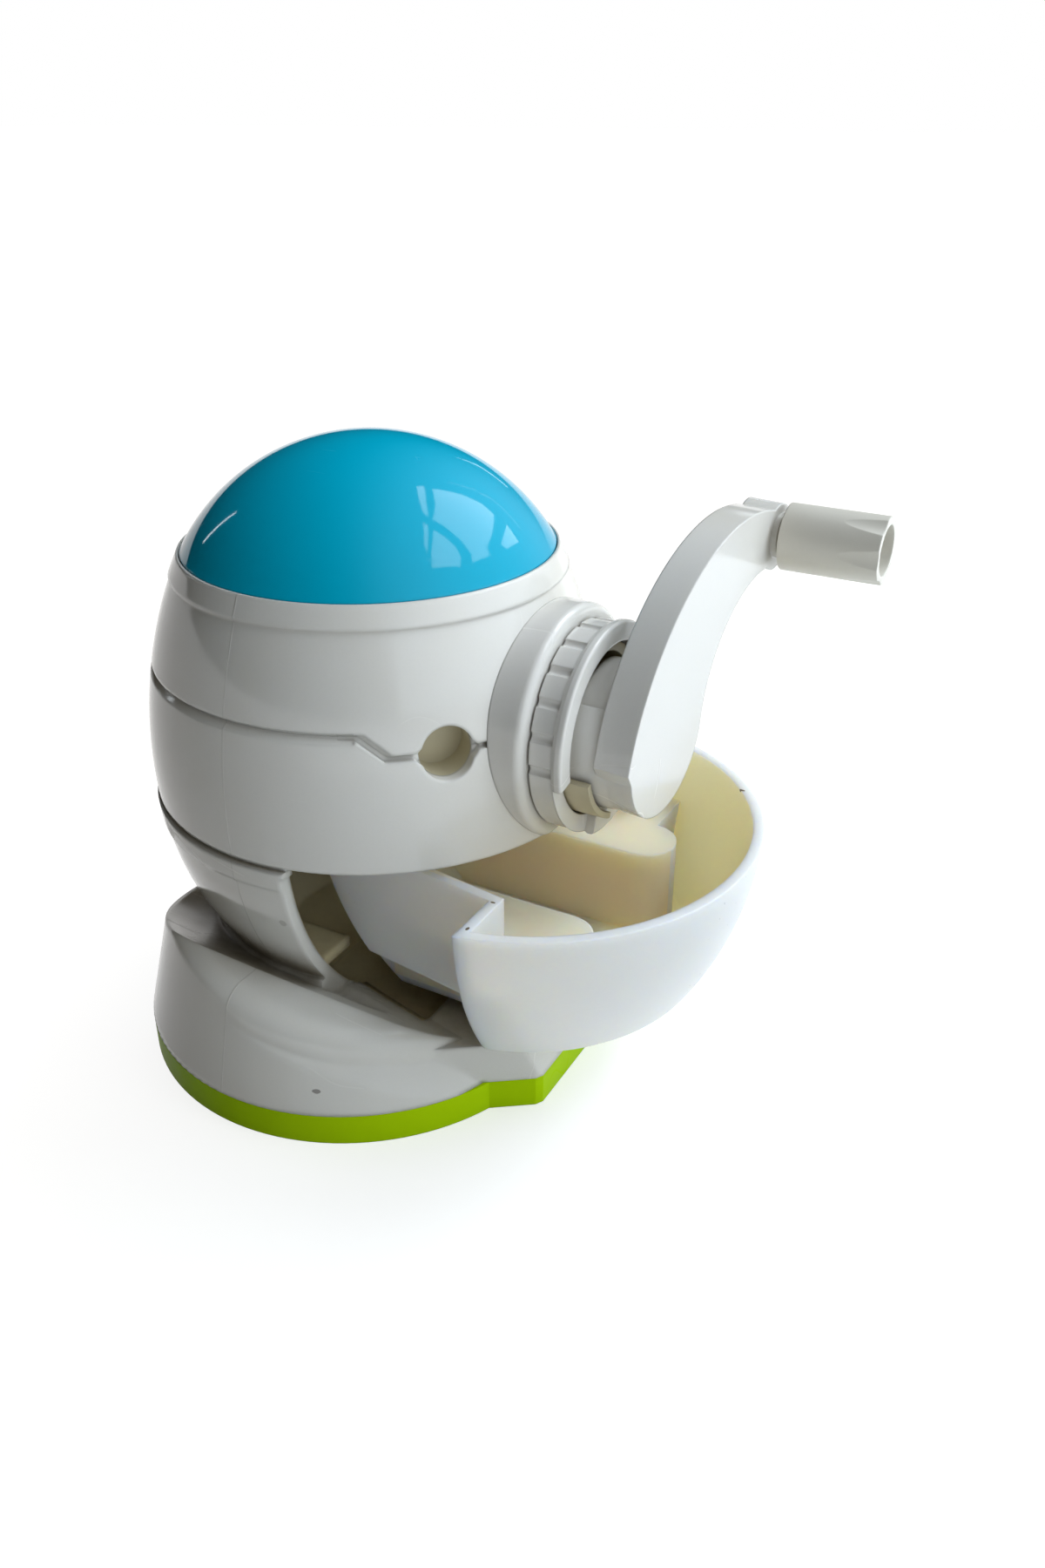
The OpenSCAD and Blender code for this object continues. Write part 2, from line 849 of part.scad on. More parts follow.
base_sole();
base_shell();
base_screws();
head_lower_shell();
head_upper_shell();
dome_cap();
head_screws();
socket_cup();
collar_seat();
cartridge_barrel();
shaft_bush();
guide_tube();
port_bezel();
ring_gear();
shavings_tray();
crank_arm();
crank_shaft();
cutter_carrier();
thrust_washer();
grip_pin();
grip();
lock_collar();
helical_cutter();
cutter_pinion();
cutter_axle();
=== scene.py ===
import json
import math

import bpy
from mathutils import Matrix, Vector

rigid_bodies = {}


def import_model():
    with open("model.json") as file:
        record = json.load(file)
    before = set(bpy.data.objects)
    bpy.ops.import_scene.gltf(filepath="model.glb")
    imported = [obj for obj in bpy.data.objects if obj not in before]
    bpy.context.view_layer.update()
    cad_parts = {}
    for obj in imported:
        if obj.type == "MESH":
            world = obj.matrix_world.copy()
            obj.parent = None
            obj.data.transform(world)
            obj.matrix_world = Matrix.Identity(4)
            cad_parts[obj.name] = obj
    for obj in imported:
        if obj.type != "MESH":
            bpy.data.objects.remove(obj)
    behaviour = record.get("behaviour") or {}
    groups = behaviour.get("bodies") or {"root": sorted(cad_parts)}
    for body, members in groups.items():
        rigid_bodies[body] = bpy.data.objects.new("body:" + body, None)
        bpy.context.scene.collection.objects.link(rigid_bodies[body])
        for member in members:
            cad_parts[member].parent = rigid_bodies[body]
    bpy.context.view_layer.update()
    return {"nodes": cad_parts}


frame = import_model()

# %% [markdown]
# # Dressing a crank pencil sharpener
# The CAD model that was just loaded is in metres, with the sharpener's sole on z = 0 and its
# crank towards +X. Every part already has its final shape and sits on the body that it moves
# with. This lesson adds what CAD doesn't have: a camera, a room to light and mirror, and the
# plastics and metals. All finishes are worked out from positions and noises, with no pictures.

MM = 0.001
nodes = frame["nodes"]
for item in list(bpy.data.objects):
    if item.name in ("Cube", "Light", "Camera"):
        bpy.data.objects.remove(item, do_unlink=True)
print("parts:", len(nodes))


# %% [markdown]
# ## The camera
# A close view with a slightly wide lens makes verticals lean and near things large. The camera
# is placed first, because the finishes are judged through it. It looks down by 28 degrees, from
# the front and a little from the crank's side. The Standard view shows colours as they are
# written, where the default one would grey them.

# %% Camera
CAMERA_TURN = math.radians(28.94)
CAMERA_DOWN = math.radians(28.14)
camera_data = bpy.data.cameras.new("camera")
camera_data.lens = 29.1
camera_data.sensor_width = 36
camera_data.sensor_fit = "AUTO"
camera_data.clip_start = 0.01
camera = bpy.data.objects.new("camera", camera_data)
bpy.context.scene.collection.objects.link(camera)
camera.location = (0.1285, -0.1770, 0.1607)
camera.rotation_euler = (math.pi / 2 - CAMERA_DOWN, 0, CAMERA_TURN)
bpy.context.scene.camera = camera
bpy.context.scene.view_settings.view_transform = "Standard"
print("camera at", [round(v, 4) for v in camera.location])

# %% [markdown]
# ## Sums with sockets
# Procedural finishes are sums of noises and masks. Wiring each Math node by hand hides the
# idea, so a small class wraps one output socket and lets Python's own operators add the nodes.
# Then `1 - mask * 0.5` means what it says, whichever side the socket stands on.

# %% A socket that takes part in sums
class Wire:
    """One node output. Sums with it add Math nodes to its tree."""

    def __init__(self, tree, socket):
        self.tree = tree
        self.socket = socket

    @staticmethod
    def add(tree, kind, inputs, out=0, **settings):
        """Adds any node: its settings by name, its inputs by name or number."""
        node = tree.nodes.new(kind)
        for key, value in settings.items():
            setattr(node, key, value)
        for key, value in inputs.items():
            if isinstance(value, Wire):
                tree.links.new(value.socket, node.inputs[key])
            else:
                node.inputs[key].default_value = value
        return Wire(tree, node.outputs[out]) if node.outputs else None

    def math(self, operation, *others, swap=False):
        """The result of a Math node. With swap, this wire is its last input."""
        values = [self, *others]
        if swap:
            values.reverse()
        inputs = dict(enumerate(values))
        return Wire.add(self.tree, "ShaderNodeMath", inputs, operation=operation)

    def __add__(self, other):
        return self.math("ADD", other)

    def __radd__(self, other):
        return self.math("ADD", other)

    def __sub__(self, other):
        return self.math("SUBTRACT", other)

    def __rsub__(self, other):
        return self.math("SUBTRACT", other, swap=True)

    def __mul__(self, other):
        return self.math("MULTIPLY", other)

    def __rmul__(self, other):
        return self.math("MULTIPLY", other)

    def __truediv__(self, other):
        return self.math("DIVIDE", other)

    def ramp(self, low, high):
        """0 below low, 1 above high, and a soft step between. low may be above high."""
        inputs = {"Value": self, "From Min": low, "From Max": high}
        settings = {"interpolation_type": "SMOOTHSTEP", "clamp": True}
        return Wire.add(self.tree, "ShaderNodeMapRange", inputs, **settings)


print("a Wire knows", len([name for name in vars(Wire) if name.startswith("__r")]), "reflected sums")

# %% [markdown]
# ## Colours
# A Math node would turn a colour grey, so colours are mixed by a Mix node. They are written here
# as a screen shows them, from 0 to 255, and turned into the linear values that shaders work in.

# %% Mixing and writing colours
def mix_colour(mask, below, above):
    """The colour below where mask is 0, the colour above where it is 1."""
    tree = mask.tree
    node = tree.nodes.new("ShaderNodeMix")
    node.data_type = "RGBA"
    for key, value in {"Factor": mask, "A": below, "B": above}.items():
        socket = [s for s in node.inputs if s.name == key and s.enabled][0]
        if isinstance(value, Wire):
            tree.links.new(value.socket, socket)
        else:
            socket.default_value = value
    return Wire(tree, [s for s in node.outputs if s.enabled][0])


def colour(red, green, blue):
    """A display colour from 0 to 255 as the linear values that shaders work in."""
    linear = []
    for value in (red, green, blue):
        share = value / 255
        linear.append(share / 12.92 if share <= 0.04045 else ((share + 0.055) / 1.055) ** 2.4)
    return (*linear, 1)


print("mid grey is", round(colour(188, 188, 188)[0], 3))

# %% [markdown]
# ## Where a point is
# A finish that is tied to a place on the part, such as the moulding line or the beige inside of
# the drawer, needs coordinates. Object coordinates stay with a part when its joint moves, so the
# marks travel with it. World coordinates would leave them hanging in the room.

# %% Place helpers
MASK_EDGE = 0.2 * MM


def place(tree):
    """Where a point is on its part, in metres. It stays with the part when the part moves."""
    return Wire.add(tree, "ShaderNodeTexCoord", {}, out="Object")


def axis_parts(tree):
    """The three coordinates of a point on its part, each as a wire."""
    inputs = {"Vector": place(tree)}
    return [Wire.add(tree, "ShaderNodeSeparateXYZ", inputs, out=name) for name in ("X", "Y", "Z")]


def above(wire, limit):
    """1 where the wire is over the limit, with a thin soft edge."""
    return (wire - limit).ramp(0.0, MASK_EDGE)


def below(wire, limit):
    """1 where the wire is under the limit, with a thin soft edge."""
    return (wire - limit).ramp(MASK_EDGE, 0.0)


def vector_math(tree, operation, first, second=None, out="Vector"):
    """A Vector Math node on one or two vectors."""
    inputs = {0: first} if second is None else {0: first, 1: second}
    return Wire.add(tree, "ShaderNodeVectorMath", inputs, out=out, operation=operation)


def facing(tree, point):
    """Over 0 where a surface of the part faces that point, under 0 where it faces away."""
    towards = vector_math(tree, "SUBTRACT", point, place(tree))
    normal = Wire.add(tree, "ShaderNodeTexCoord", {}, out="Normal")
    return vector_math(tree, "DOT_PRODUCT", normal, towards, out="Value")


def from_axis(tree, centre_x):
    """How far a point is from an upright line through the sharpener's middle plane."""
    along, across, up = axis_parts(tree)
    off = along - centre_x
    return (off * off + across * across).math("SQRT")


print("masks fade over", MASK_EDGE / MM, "mm")

# %% [markdown]
# ## What handling leaves
# Scratches and knocks could be painted by hand. Noise makes them with less work, and keeps them
# sharp at any distance. A hairline is where a stretched noise passes its middle value, and a
# knock is a small ball round a point, with its edge broken up by a fine noise.

# %% Noises and marks
def noise(tree, per_metre, detail=2, seed=0, stretch=(1, 1, 1)):
    """A soft noise from 0 to 1 with that many cells to a metre, stretched along an axis."""
    turns = (0.3 * seed, 0.7 * seed, 0.5 * seed)
    inputs = {
        "Vector": place(tree), "Location": (seed, seed, seed), "Rotation": turns, "Scale": stretch,
    }
    where = Wire.add(tree, "ShaderNodeMapping", inputs)
    inputs = {"Vector": where, "Scale": per_metre, "Detail": detail}
    return Wire.add(tree, "ShaderNodeTexNoise", inputs)


def hairlines(tree, seed, per_metre=70, width=0.012):
    """Thin scratches in short runs."""
    lines = noise(tree, per_metre, detail=1, seed=seed, stretch=(0.25, 1.6, 1.0))
    close = (lines - 0.5).math("ABSOLUTE").ramp(width, 0)
    runs = noise(tree, 35, seed=seed + 5).ramp(0.56, 0.66)
    return close * runs


def speck(tree, spot, size):
    """A ragged mark round a point of the part, with its three half sizes in millimetres."""
    ragged = noise(tree, 1500, detail=3, seed=21) * 0.8
    far = 0.6
    for wire, middle, half in zip(axis_parts(tree), spot, size):
        off = (wire - middle * MM) / (half * MM)
        far = off * off + far
    return (far + ragged).ramp(2.0, 1.6)


print("noises and marks ready")

# %% [markdown]
# ## Starting and ending a material
# Every material starts from a Principled shader and ends with the same three links, so two small
# helpers do both. Only colour, roughness and normal vary over a surface here. All other settings
# are plain numbers, which also lets the finish be baked to textures later.

# %% Material helpers
def new_finish(name):
    """A new material, with its tree and its Principled shader."""
    material = bpy.data.materials.new(name)
    material.use_nodes = True
    return material, material.node_tree, material.node_tree.nodes["Principled BSDF"]


def rounded_edges(tree, radius_mm, samples):
    """A normal that rounds the look of sharp CAD edges, as a tool's small radii would."""
    return Wire.add(tree, "ShaderNodeBevel", {"Radius": radius_mm * MM}, samples=samples)


def bumped(tree, height, depth_mm, normal):
    """The normal with a height of that depth added to it."""
    inputs = {"Strength": 1.0, "Distance": depth_mm * MM, "Height": height, "Normal": normal}
    return Wire.add(tree, "ShaderNodeBump", inputs, out="Normal")


def finish_with(tree, shader, shade, rough, normal, **numbers):
    """Links what varies and sets the rest. A number's name has _ where the socket has a space."""
    for key, wire in (("Base Color", shade), ("Roughness", rough), ("Normal", normal)):
        tree.links.new(wire.socket, shader.inputs[key])
    for key, value in numbers.items():
        shader.inputs[key.replace("_", " ")].default_value = value


print("material helpers ready")

# %% [markdown]
# ## One recipe for moulded plastic
# Nothing moulded is quite even. The resin's tint drifts slowly, handling leaves smears that only
# show in the gloss, the mould's polish shows as a faint orange peel, and use adds hairline
# scratches. Inner corners are darkened where the Ambient Occlusion node finds them: painted shade,
# mixed with patchy dust. One function makes all of these from seeded noises, and each plastic calls it
# with its own amounts.
# Some plastics also pass a mask for an unpolished, yellowed inside.

# %% Parts of the plastic recipe
# Corners darken towards this tone as painted shade mixed with dust. The parting line's thin dark tone
# uses it too.
SHADE_AND_DUST_TONE = colour(120, 108, 84)
PEEL_DEPTH = 0.06


def resin(tree, base, tint):
    """The plastic's own colour, with a slow drift and a fine grain."""
    drift = noise(tree, 18, detail=3, seed=1).ramp(0.42, 0.72)
    grain = noise(tree, 2600, detail=1, seed=2).ramp(0.35, 0.75)
    darker = tuple(v * 0.8 for v in base[:3]) + (1,)
    return mix_colour(grain * 0.05, mix_colour(drift, base, tint), darker)


def stained_and_shaded(tree, inner, shaded_half):
    """The inside's colour: stains between two tones, and the second one, a painted shade, where the
    given mask is 1.
    """
    stain = noise(tree, 55, detail=4, seed=11).ramp(0.3, 0.7)
    if shaded_half:
        stain = stain.math("MAXIMUM", shaded_half(tree))
    return mix_colour(stain, *inner)


def shade_and_dust_in_corners(tree, crease, shade_and_dust):
    """Painted shade in corners, mixed with patchy dirt, up to that many millimetres deep."""
    inputs = {"Distance": crease * MM}
    corner = Wire.add(tree, "ShaderNodeAmbientOcclusion", inputs, out="AO", samples=8)
    patches = 0.4 + 0.6 * noise(tree, 160, detail=4, seed=3)
    return corner.ramp(0.75, 0.2) * patches * shade_and_dust


print("plastic's dust is", [round(v, 2) for v in SHADE_AND_DUST_TONE[:3]])

# %% The plastic recipe
def plastic(
    name, base, tint, gloss=0.16, smears=0.16, peel=0.035, edge=0.5, shade_and_dust=0.35, lines=None,
    inside=None, inner=None, shaded_half=None, marks=(), shine=0.5, soft=0.0, depth=1.5, crease=4.0,
):
    """A moulded plastic. base and tint are its two colours, gloss its roughness when clean."""
    material, tree, shader = new_finish(name)
    # Darkening in corners from ambient occlusion: painted shade with some dust.
    corner_shade_and_dust = shade_and_dust_in_corners(tree, crease, shade_and_dust)
    smear = noise(tree, 28, detail=5, seed=4).ramp(0.4, 0.75)
    scratch = hairlines(tree, 6) + hairlines(tree, 9, per_metre=45, width=0.008)
    fine = noise(tree, 900, detail=2, seed=7)

    shade = resin(tree, base, tint)
    rough = gloss + smear * smears * 0.6 + fine * 0.05 + scratch * 0.25 + corner_shade_and_dust * 0.3
    height = noise(tree, 420, detail=2, seed=8) * peel - scratch * 0.12
    if inside:
        within = inside(tree)
        shade = mix_colour(within, shade, stained_and_shaded(tree, inner, shaded_half))
        rough = rough + within * 0.3
    shade = mix_colour(corner_shade_and_dust, shade, SHADE_AND_DUST_TONE)
    if lines:
        shade = mix_colour(lines(tree) * 0.10, shade, SHADE_AND_DUST_TONE)
        height = height + lines(tree) * 0.6
    for spot, size, tone in marks:
        shade = mix_colour(speck(tree, spot, size), shade, tone)

    numbers = {"IOR": 1.5, "Specular_IOR_Level": shine}
    if soft:
        numbers["Subsurface_Weight"] = soft
        numbers["Subsurface_Radius"] = (1.0, 0.8, 0.5)
        numbers["Subsurface_Scale"] = depth * MM
    normal = bumped(tree, height, PEEL_DEPTH, rounded_edges(tree, edge, samples=8))
    finish_with(tree, shader, shade, rough, normal, **numbers)
    return material


print("plastic's peel is", PEEL_DEPTH, "mm deep at most")

# %% [markdown]
# ## The mould's parting line
# The white shells were moulded in two side slides that met on one plane across the sharpener,
# just behind its middle. It shows as a hair-thin ridge up the foot, the neck and the head. It
# is too fine to be worth geometry, so it is a mask round that plane.

# %% Parting line
PARTING_X = -2.0 * MM
RIDGE_FOOT = 0.22 * MM
RIDGE_TOP = 0.05 * MM


def parting(tree):
    """1 on the hair-thin ridge where the slides met, 0 elsewhere."""
    along, across, up = axis_parts(tree)
    return (along - PARTING_X).math("ABSOLUTE").ramp(RIDGE_FOOT, RIDGE_TOP)


print("parting plane at x =", PARTING_X / MM, "mm")

# %% [markdown]
# ## Inside the neck
# The foot and neck are one white moulding, but the hollow neck and the channel under the drawer
# have yellowed like old cream. Splitting the mesh would do it. A mask keeps the part whole: the
# neck's inner outline is part of a circle, bent about the upright axis, and a point is inside
# where it lies nearer to that axis than the outline does.

# %% Mask for the neck's inside
NECK_WALL = 2.0
NECK_ARC = 55
NECK_REACH = 41.8
NECK_ARC_R = (NECK_ARC - NECK_WALL) * MM
NECK_ARC_X = (NECK_REACH - NECK_ARC) * MM
NECK_BELLY_Z = 52 * MM
NECK_FRONT_X = 8.3 * MM
CHANNEL_TOP_Z = 15.4 * MM
CHANNEL_BACK_X = -20 * MM
CHANNEL_FRONT_X = 25 * MM
CHANNEL_HALF_Y = 28 * MM


def neck_inside(tree):
    """1 inside the hollow neck and on the channel's floor, 0 on the outside of the foot."""
    along, across, up = axis_parts(tree)
    rise = up - NECK_BELLY_Z
    reach = (NECK_ARC_R * NECK_ARC_R - rise * rise).math("SQRT") + NECK_ARC_X
    hollow = above(reach - from_axis(tree, 0.0), 0.0) * below(along, NECK_FRONT_X)
    channel = below(up, CHANNEL_TOP_Z) * below(along, CHANNEL_FRONT_X)
    inner = below(across.math("ABSOLUTE"), CHANNEL_HALF_Y) * above(along, CHANNEL_BACK_X)
    return hollow.math("MAXIMUM", channel * inner)


print("neck is hollow up to", (NECK_ARC_R + NECK_ARC_X) / MM, "mm from the axis")

# %% [markdown]
# ## White shells
# The head and the foot are the same glossy white. The foot's edges are rounder, its creases are
# darker with painted shade and dirt, and it carries a few marks: a rubbed spot by the sole, a
# smaller one at the back and a pale round one on the neck. The collar, crank arm and bezels were
# moulded apart and have no parting line there. A little subsurface light keeps white plastic from
# looking like painted metal.

# %% Whites
OLD_CREAM = (colour(228, 216, 178), colour(216, 200, 156))
SCUFF = colour(150, 146, 140)
PALE_MARK = colour(206, 203, 196)
foot_marks = [
    ((16.1, -47.3, 10.7), (0.9, 0.7, 0.45), SCUFF),
    ((-16.3, -29.9, 20.9), (0.35, 0.35, 0.3), SCUFF),
    ((5.6, -39.4, 37.5), (0.8, 0.8, 0.8), PALE_MARK),
]
white = plastic(
    "white_shell", colour(232, 230, 225), colour(228, 223, 213), gloss=0.07, smears=0.08,
    peel=0.02, lines=parting, edge=0.9, soft=0.05,
)
# The foot's strong, wide darkening in its creases is painted shade along the neck's root, with some
# dirt.
foot_white = plastic(
    "white_foot", colour(230, 228, 222), colour(226, 221, 211), gloss=0.09, smears=0.1,
    peel=0.02, lines=parting, edge=1.6, soft=0.05, inside=neck_inside, inner=OLD_CREAM,
    marks=foot_marks, shade_and_dust=1.1, crease=14.0,
)
plain_white = plastic(
    "white_trim", colour(232, 230, 226), colour(228, 224, 215), gloss=0.1, smears=0.08,
    peel=0.02, edge=0.45, soft=0.05,
)
print("white materials:", white.name, foot_white.name, plain_white.name)

# %% [markdown]
# ## Blue dome, green sole, grip and cream insides
# The dome is polished until it mirrors the windows, so its gloss is close to a mirror's, with
# nearly no peel. The sole is dull, to stand still on a desk. The grip is worn satin. The inner
# parts were never polished and have yellowed, so they are rougher and warmer than the outsides.

# %% Coloured plastics
dome_blue = plastic(
    "dome_blue", colour(0, 172, 206), colour(0, 168, 202), gloss=0.03, smears=0.04,
    peel=0.006, edge=0.3, shade_and_dust=0.2, shine=0.22,
)
sole_green = plastic(
    "sole_green", colour(186, 226, 2), colour(178, 219, 0), gloss=0.4, smears=0.2,
    peel=0.09, edge=0.5, shade_and_dust=0.08, shine=0.04,
)
cream = plastic(
    "inner_cream", colour(205, 196, 168), colour(190, 176, 140), gloss=0.4, smears=0.2,
    peel=0.09, edge=0.3,
)
grip_white = plastic(
    "grip_white", colour(224, 220, 210), colour(216, 208, 192), gloss=0.3, smears=0.2,
    peel=0.06, edge=0.35,
)
print("other plastics:", dome_blue.name, sole_green.name, cream.name, grip_white.name)

# %% [markdown]
# ## The tray's two whites
# Outside, the drawer is a cool satin white. Inside, pencil dust and age have turned it beige. A
# mask tells the two apart: inside is every surface that faces the drawer's mouth, and everything
# that stands on its floor near the middle. The far half of the inside is painted a darker tan, as
# shade. The plastic is thin, so subsurface light lets some of the daylight through its wall, which
# an opaque finish would leave dark.

# %% Masks for the drawer's inside
TRAY_X = 32.3 * MM
TRAY_MOUTH = (TRAY_X, 0, 47.0 * MM)
TRAY_MOUTH_EDGE = 0.4 * MM
TRAY_FLOOR_Z = 18.3 * MM
TRAY_MIDDLE_R = 27.0 * MM
FAR_SHADE_FROM_Y = -14 * MM
FAR_SHADE_OVER = 8 * MM


def tray_inside(tree):
    """1 inside the drawer: what faces its mouth, and all that stands on its floor."""
    mouth = facing(tree, TRAY_MOUTH).ramp(0.0, TRAY_MOUTH_EDGE)
    along, across, up = axis_parts(tree)
    middle = below(from_axis(tree, TRAY_X), TRAY_MIDDLE_R) * above(up, TRAY_FLOOR_Z)
    return mouth.math("MAXIMUM", middle)


def tray_far_shade(tree):
    """1 on the far half of the drawer, which is painted a darker tan as shade, 0 on the near ledge."""
    along, across, up = axis_parts(tree)
    return (across - FAR_SHADE_FROM_Y).ramp(0.0, FAR_SHADE_OVER)


print("drawer's mouth is centred at x =", TRAY_X / MM, "mm")

# %% Tray
KNOCK = colour(96, 84, 66)
tray_ticks = [
    ((63.3, 25.6, 47.7), (0.9, 0.35, 0.5), KNOCK),
    ((41.9, -38.1, 47.7), (0.3, 0.5, 0.5), KNOCK),
    ((41.7, -29.8, 47.7), (0.5, 0.25, 0.5), KNOCK),
]
# The inside's second, darker tone colours the stains and also the far half, as painted shade.
tray_white = plastic(
    "tray_white", colour(233, 234, 234), colour(228, 228, 226), gloss=0.26, smears=0.2,
    peel=0.04, edge=0.5, inside=tray_inside, shaded_half=tray_far_shade,
    inner=(colour(250, 242, 224), colour(247, 234, 206)),
    soft=1.0, depth=8.0, shade_and_dust=0.12, marks=tray_ticks,
)
print("knocks on the drawer's rim:", len(tray_ticks))

# %% [markdown]
# ## Metals
# The shaft, cutter, axle and screws are only seen in part, but they are real machined metal: a
# full metallic value, grinding lines that follow the part, and a little tarnish. The lines are a
# noise squeezed along one axis, which is simpler than unwrapping a screw for a brushed texture.

# %% The metal recipe
GRIND_DEPTH = 0.02
METAL_EDGE = 0.15


def metal(name, base, tint, gloss, grind=(1.0, 1.0, 1.0), lines_per_metre=1200):
    """A machined metal. grind stretches its grinding lines along an axis."""
    material, tree, shader = new_finish(name)
    tarnish = noise(tree, 120, detail=5, seed=3).ramp(0.4, 0.7)
    lines = noise(tree, lines_per_metre, detail=3, seed=0, stretch=grind)
    rough = gloss + lines * 0.18 + tarnish * 0.12
    normal = bumped(tree, lines, GRIND_DEPTH, rounded_edges(tree, METAL_EDGE, samples=6))
    finish_with(tree, shader, mix_colour(tarnish, base, tint), rough, normal, Metallic=1)
    return material


steel = metal("steel", colour(190, 190, 188), colour(165, 160, 150), 0.2, grind=(0.05, 1, 1))
cutter_steel = metal(
    "cutter_steel", colour(170, 172, 176), colour(150, 146, 140), 0.15, grind=(1, 0.1, 0.1)
)
zinc = metal("zinc", colour(168, 170, 172), colour(140, 140, 140), 0.35, lines_per_metre=500)
print("metals:", steel.name, cutter_steel.name, zinc.name)

# %% [markdown]
# ## Giving every part its finish
# The CAD parts carry named material slots, so the finish is looked up by slot and not by part.
# A table of part names would work too, but would have to be kept in step with the CAD. Only two
# finishes go by name: the small white trim without a parting line, and the foot's own white.

# %% Finish for each material slot
finishes = {
    "body_white": white, "tray_white": tray_white, "grip_white": grip_white,
    "inner_cream": cream, "dome_blue": dome_blue, "sole": sole_green,
    "steel": steel, "cutter_steel": cutter_steel, "zinc": zinc,
}
trim = ("collar_seat", "lock_collar", "crank_arm", "port_bezel", "socket_cup")
for name, part in nodes.items():
    for index, material in enumerate(part.data.materials):
        finish = finishes[material.name.split(".")[0]]
        if finish is white and name in trim:
            finish = plain_white
        if name == "base_shell":
            finish = foot_white
        part.data.materials[index] = finish
print("finished", len(nodes), "parts")

# %% [markdown]
# ## The floor
# The sharpener stands on a white floor that has no visible edge. More light would make it white
# but would wash the part out. Instead, the Light Path node tells eye rays from light rays, and
# only the eye sees the floor's own glow. Near the part the glow is held back, so that the floor's
# real shading, and with it the shadow, still shows. On the dim side of the room the floor is
# brown to the light, so that it doesn't brighten the part's shaded side.

# %% Floor that is white to the eye but still holds the shadow
FLOOR_SIZE = 20
FLOOR_GAP = 0.1 * MM
DIM_SIDE_X = -0.07
LIT_SIDE_X = 0.10
SHADOW_ROOM = 0.6
SHADOW_FULL = 0.20
SHADOW_GONE = 0.55
bpy.ops.mesh.primitive_plane_add(size=FLOOR_SIZE, location=(0, 0, -FLOOR_GAP))
floor = bpy.context.object
floor.name = "floor"


def eye_rays(tree):
    """1 for what the camera sees straight, mirrored or through glass, 0 for light on the part."""
    rays = tree.nodes.new("ShaderNodeLightPath")
    kinds = ("Is Camera Ray", "Is Glossy Ray", "Is Transmission Ray")
    straight, mirrored, through = [Wire(tree, rays.outputs[kind]) for kind in kinds]
    return (straight + mirrored + through).math("MINIMUM", 1.0)


def seen_and_lit(tree, lit, seen):
    """One shader for the light on the part, another for the eye."""
    return Wire.add(tree, "ShaderNodeMixShader", {0: eye_rays(tree), 1: lit, 2: seen})


floor_material, tree, ground = new_finish("floor_white")
lit_side = axis_parts(tree)[0].ramp(DIM_SIDE_X, LIT_SIDE_X)
tabletop = mix_colour(lit_side, colour(84, 77, 65), colour(240, 240, 238))
tree.links.new(tabletop.socket, ground.inputs["Base Color"])
ground.inputs["Roughness"].default_value = 0.9
ground.inputs["Specular IOR Level"].default_value = 0.0
near = from_axis(tree, 0.0).ramp(SHADOW_GONE, SHADOW_FULL)
glow_back = 1 - near * lit_side * SHADOW_ROOM
glow = Wire.add(tree, "ShaderNodeEmission", {"Color": glow_back, "Strength": 1.0})
matt = Wire(tree, ground.outputs["BSDF"])
bright = Wire.add(tree, "ShaderNodeAddShader", {0: glow, 1: matt})
shown = seen_and_lit(tree, matt, bright)
tree.links.new(shown.socket, tree.nodes["Material Output"].inputs["Surface"])
floor.data.materials.append(floor_material)
print("floor is", FLOOR_SIZE, "m wide, its shadow room", SHADOW_ROOM)

# %% [markdown]
# ## The world
# What lies beyond the floor is white too, by the same trick: full strength to the eye and a weak,
# slightly warm light on the part. A backdrop would do as well, but would need its own edge hidden.

# %% World: white to the eye, a soft light on the part
WORLD_FILL = 0.2
world = bpy.data.worlds.new("room")
bpy.context.scene.world = world
world.use_nodes = True
tree = world.node_tree
tree.nodes.clear()


def background(tree, tone, strength):
    """A world shader of one colour."""
    return Wire.add(tree, "ShaderNodeBackground", {"Color": tone, "Strength": strength})


fill = background(tree, colour(232, 230, 224), WORLD_FILL)
both = seen_and_lit(tree, fill, background(tree, (1, 1, 1, 1), 1.0))
Wire.add(tree, "ShaderNodeOutputWorld", {"Surface": both})
print("world fill is", WORLD_FILL)

# %% [markdown]
# ## Walls and ceiling
# A glossy part shows its room. Area lamps would light it, but would mirror as plain rectangles in
# an empty space. Here the walls and the ceiling are one large shell that glows softly: cool and
# bright on the crank's side, warm and dim on the other. Points are written as two angles, the turn
# from the crank's axis and the height above the floor, as a surveyor would sight them.

# %% Room shell
ROOM_REACH = 1.6
SHELL_REACH = 1.1 * ROOM_REACH
ROOM_CENTRE = Vector((0, 0, 0.09))
BRIGHT_WALL = 1.45
DIM_WALL = 0.015
LIGHT_FROM = Vector((0.84, 0.36, 0.36)).normalized()
WARM_WALL = colour(190, 166, 118)
COOL_WALL = colour(236, 246, 255)


def sighted(turn, height, reach=ROOM_REACH):
    """The point at that many degrees of turn and height, seen from the part."""
    turn, height = math.radians(turn), math.radians(height)
    level = math.cos(height)
    way = Vector((level * math.cos(turn), level * math.sin(turn), math.sin(height)))
    return ROOM_CENTRE + reach * way


def room_piece(name, points, faces, make_light):
    """A part of the room that glows, hidden from the camera itself."""
    mesh = bpy.data.meshes.new(name)
    mesh.from_pydata(points, [], faces)
    item = bpy.data.objects.new(name, mesh)
    bpy.context.scene.collection.objects.link(item)
    item.visible_camera = False
    material = bpy.data.materials.new(name)
    material.use_nodes = True
    tree = material.node_tree
    tree.nodes.clear()
    Wire.add(tree, "ShaderNodeOutputMaterial", {"Surface": make_light(tree)})
    mesh.materials.append(material)


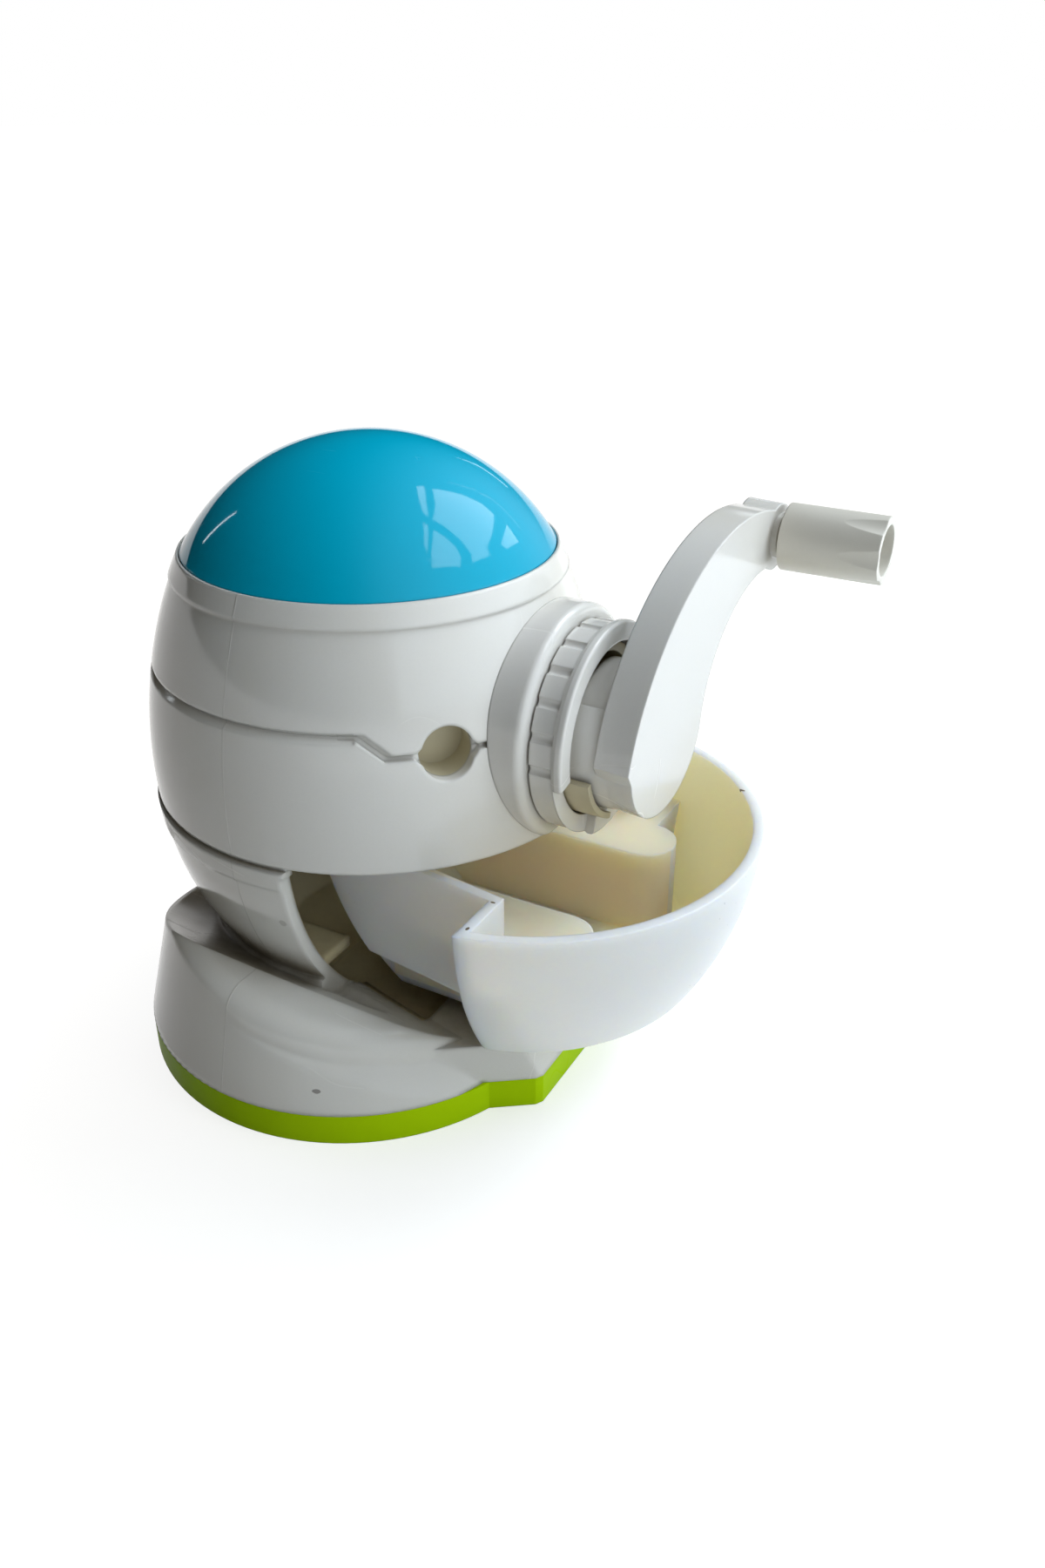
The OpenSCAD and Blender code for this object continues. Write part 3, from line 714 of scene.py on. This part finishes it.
def wall_light(tree):
    """Bright and cool on the side that the light comes from, dim and warm opposite."""
    way = vector_math(tree, "NORMALIZE", place(tree))
    share = vector_math(tree, "DOT_PRODUCT", way, LIGHT_FROM, out="Value").ramp(0.03, 0.95)
    tone = mix_colour(share.ramp(0.05, 0.6), WARM_WALL, COOL_WALL)
    strength = share * (BRIGHT_WALL - DIM_WALL) + DIM_WALL
    inputs = {0: tone, "Scale": strength}
    glow = Wire.add(tree, "ShaderNodeVectorMath", inputs, operation="SCALE")
    return Wire.add(tree, "ShaderNodeEmission", {"Color": glow, "Strength": 1.0})


turns = list(range(0, 360, 15))
heights = [3, 15, 30, 45, 60, 75, 88]
points = [sighted(turn, height, SHELL_REACH) for height in heights for turn in turns]
ceiling = list(range(len(points) - len(turns), len(points)))
faces = [ceiling]
for row in range(len(heights) - 1):
    low = row * len(turns)
    high = low + len(turns)
    for step in range(len(turns)):
        after = (step + 1) % len(turns)
        faces.append([low + step, low + after, high + after, high + step])
room_piece("room_shell", points, faces, wall_light)
print("room shell faces:", len(faces))

# %% [markdown]
# ## Window panes
# The dome mirrors a large window with bars, a few slits of light beside it and a low window by the
# crank. Each is a small polygon in front of the shell, with its corners in turn and height. The
# dark bars are the gaps between panes, which is simpler than a frame in front of one big pane.

# %% Window panes
DAYLIGHT = colour(240, 249, 255)
WINDOW = 7.0
SLIT = 2.5
LOW_WINDOW = 1.6
panes = {
    "pane_main": (WINDOW, [
        (81, 56), (77, 45), (74, 37), (70, 33), (56, 36), (43, 38), (38, 36), (24, 41), (29, 43),
        (34, 50), (39, 58), (42, 63), (64, 60),
    ]),
    "pane_edge": (WINDOW, [(87, 61), (85, 58), (64, 64), (45, 65), (49, 67), (70, 66)]),
    "pane_strip": (WINDOW, [(35, 67), (33, 65), (15, 62), (2, 58), (7, 62)]),
    "pane_low": (WINDOW, [(30, 62), (28, 56), (26, 51), (21, 46), (15, 44), (-4, 51), (5, 57)]),
    "pane_small": (WINDOW, [(68, 28), (52, 32), (52, 29), (63, 23)]),
    "window_low": (LOW_WINDOW, [(-44, 4), (10, 4), (10, 26), (-44, 26)]),
    "slit_high": (SLIT, [(87, 46), (86, 45), (81, 29), (73, 20), (74, 20), (82, 29)]),
    "slit_low": (SLIT, [(106, 20), (105, 12), (100, 8), (99, 9), (104, 13)]),
    "slit_left": (WINDOW, [(171, 12), (172.2, 12), (172.2, 27), (171, 27)]),
}


def daylight(strength):
    """A light maker for a pane of that strength."""
    inputs = {"Color": DAYLIGHT, "Strength": strength}
    return lambda tree: Wire.add(tree, "ShaderNodeEmission", inputs)


for name, (strength, corners) in panes.items():
    outline = list(range(len(corners)))
    room_piece(name, [sighted(*corner) for corner in corners], [outline], daylight(strength))
print("panes:", len(panes))

# %% [markdown] ## The dressing leaves the part's size as it was.
